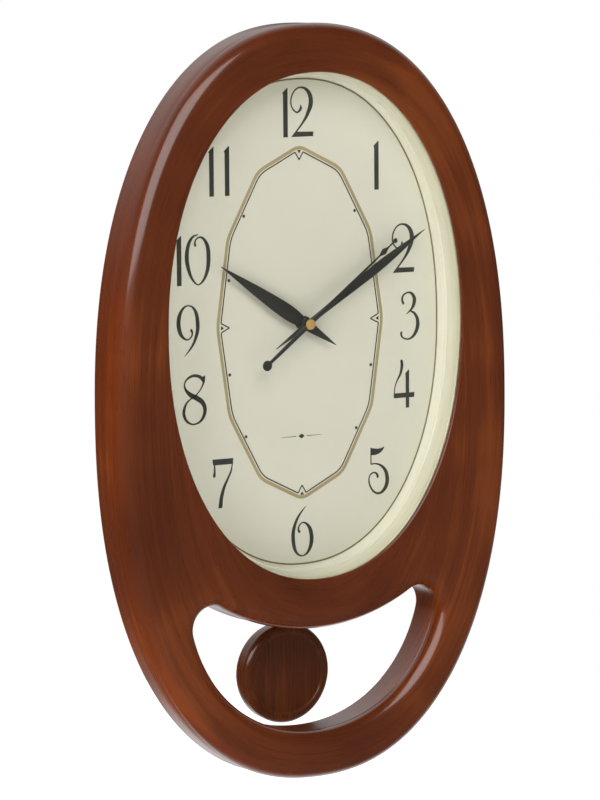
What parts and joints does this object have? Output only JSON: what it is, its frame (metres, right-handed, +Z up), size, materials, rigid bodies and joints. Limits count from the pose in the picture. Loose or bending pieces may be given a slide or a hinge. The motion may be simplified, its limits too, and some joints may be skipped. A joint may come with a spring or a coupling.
{
  "type": "wall clock",
  "caption": "Oval wall clock: dark wooden frame, cream dial with hour, minute and second hands, quartz movement, and a pendulum bob seen in a crescent opening.",
  "frame": {"origin": "centre of the round hole of the hanging keyhole, half way through its plate, 104 mm above the axis of the hands", "axes": "+Z up the dial towards 12, +X towards 3 as seen from the front, +Y from the front into the wall"},
  "size_m": [0.3137, 0.0625, 0.5146],
  "materials": {
    "frame_wood": "glossy mahogany lacquer",
    "rim_cream": "satin cream",
    "clear_pane": "clear, polished",
    "dial_print": "fine satin cream print",
    "hardboard": "brown hardboard",
    "tub_plastic": "fine-grained dark brown plastic",
    "zinc_steel": "zinc-plated",
    "pad_rubber": "matt",
    "movement_black": "moulded black",
    "board_green": "solder-masked board",
    "chip_black": "matt epoxy",
    "crystal_can": "bright can",
    "spring_contact": "nickel-plated",
    "cell_wrap": "printed sleeve",
    "lamination": "stamped soft iron",
    "bobbin_white": "moulded white",
    "copper_wire": "enamelled copper",
    "wheel_white": "moulded acetal",
    "arbor_brass": "turned",
    "hand_black": "satin black",
    "cap_brass": "polished",
    "pin_steel": "ground",
    "magnet_grey": "nickel-plated",
    "rod_brass": "satin strip",
    "bob_wood": "glossy mahogany lacquer"
  },
  "bodies": {
    "clock_case": {"case_frame": "frame_wood", "dial_rim": "rim_cream", "lens": "clear_pane", "dial_plate": "dial_print", "dial_board": "hardboard", "rear_case": "tub_plastic", "rear_case_screws": "zinc_steel", "hanger_plate": "zinc_steel", "hanger_rivets": "zinc_steel", "wall_pads": "pad_rubber", "movement_base": "movement_black", "movement_cover": "movement_black", "movement_screws": "zinc_steel", "circuit_board": "board_green", "timing_chip": "chip_black", "quartz_crystal": "crystal_can", "contact_positive": "spring_contact", "contact_negative": "spring_contact", "battery": "cell_wrap", "stator": "lamination", "coil_core": "lamination", "coil_bobbin": "bobbin_white", "coil_winding": "copper_wire", "pendulum_case": "movement_black", "pendulum_cover": "movement_black", "pendulum_screws": "zinc_steel", "drive_coil": "copper_wire", "pivot_pin": "pin_steel", "supply_strips": "spring_contact"},
    "minute_train": {"minute_arbor": "arbor_brass", "minute_hand": "hand_black"},
    "motion": {"motion_wheel": "wheel_white"},
    "hour_train": {"hour_wheel": "arbor_brass", "hour_hand": "hand_black"},
    "knob": {"set_knob": "wheel_white"},
    "second_train": {"second_wheel": "wheel_white", "second_hand": "hand_black", "second_cap": "cap_brass"},
    "intermediate": {"intermediate_wheel": "wheel_white"},
    "rotor_body": {"rotor": "wheel_white"},
    "third": {"third_wheel": "wheel_white"},
    "centre": {"centre_wheel": "wheel_white"},
    "pendulum": {"pendulum_arm": "movement_black", "drive_magnet": "magnet_grey", "pendulum_rod": "rod_brass", "bob_face": "bob_wood", "bob_back": "bob_wood", "bob_rivets": "zinc_steel"},
    "door": {"battery_door": "tub_plastic"}
  },
  "joints": [
    {"name": "minute_turn", "type": "hinge", "parent": "clock_case", "child": "minute_train", "pos_m": [0, -0.032, -0.104], "axis": [0, 1, 0], "continuous": true},
    {"name": "motion_turn", "type": "hinge", "parent": "clock_case", "child": "motion", "pos_m": [-0.00705, -0.032, -0.10657], "axis": [0, 1, 0], "continuous": true},
    {"name": "hour_turn", "type": "hinge", "parent": "clock_case", "child": "hour_train", "pos_m": [0, -0.032, -0.104], "axis": [0, 1, 0], "continuous": true},
    {"name": "knob_turn", "type": "hinge", "parent": "clock_case", "child": "knob", "pos_m": [-0.01455, -0.032, -0.10657], "axis": [0, 1, 0], "continuous": true},
    {"name": "second_turn", "type": "hinge", "parent": "clock_case", "child": "second_train", "pos_m": [0, -0.032, -0.104], "axis": [0, 1, 0], "continuous": true},
    {"name": "intermediate_turn", "type": "hinge", "parent": "clock_case", "child": "intermediate", "pos_m": [0.0087, -0.032, -0.104], "axis": [0, 1, 0], "continuous": true},
    {"name": "rotor_turn", "type": "hinge", "parent": "clock_case", "child": "rotor_body", "pos_m": [0.0129, -0.032, -0.09673], "axis": [0, 1, 0], "continuous": true},
    {"name": "third_turn", "type": "hinge", "parent": "clock_case", "child": "third", "pos_m": [0, -0.032, -0.0955], "axis": [0, 1, 0], "continuous": true},
    {"name": "centre_turn", "type": "hinge", "parent": "clock_case", "child": "centre", "pos_m": [0, -0.032, -0.104], "axis": [0, 1, 0], "continuous": true},
    {"name": "pendulum_swing", "type": "hinge", "parent": "clock_case", "child": "pendulum", "pos_m": [0, -0.0106, -0.146], "axis": [0, 1, 0], "range_deg": [-8.5, 8.5]},
    {"name": "door_slide", "type": "slide", "parent": "clock_case", "child": "door", "axis": [0, 0, -1], "range_m": [0, 0.046]}
  ],
  "couplings": [
    {"joint": "motion_turn", "follows": "minute_turn", "ratio": -0.33333},
    {"joint": "hour_turn", "follows": "minute_turn", "ratio": 0.083333},
    {"joint": "knob_turn", "follows": "minute_turn", "ratio": 1},
    {"joint": "intermediate_turn", "follows": "second_turn", "ratio": -5},
    {"joint": "rotor_turn", "follows": "second_turn", "ratio": 30},
    {"joint": "third_turn", "follows": "second_turn", "ratio": -0.125},
    {"joint": "centre_turn", "follows": "second_turn", "ratio": 0.016667}
  ]
}
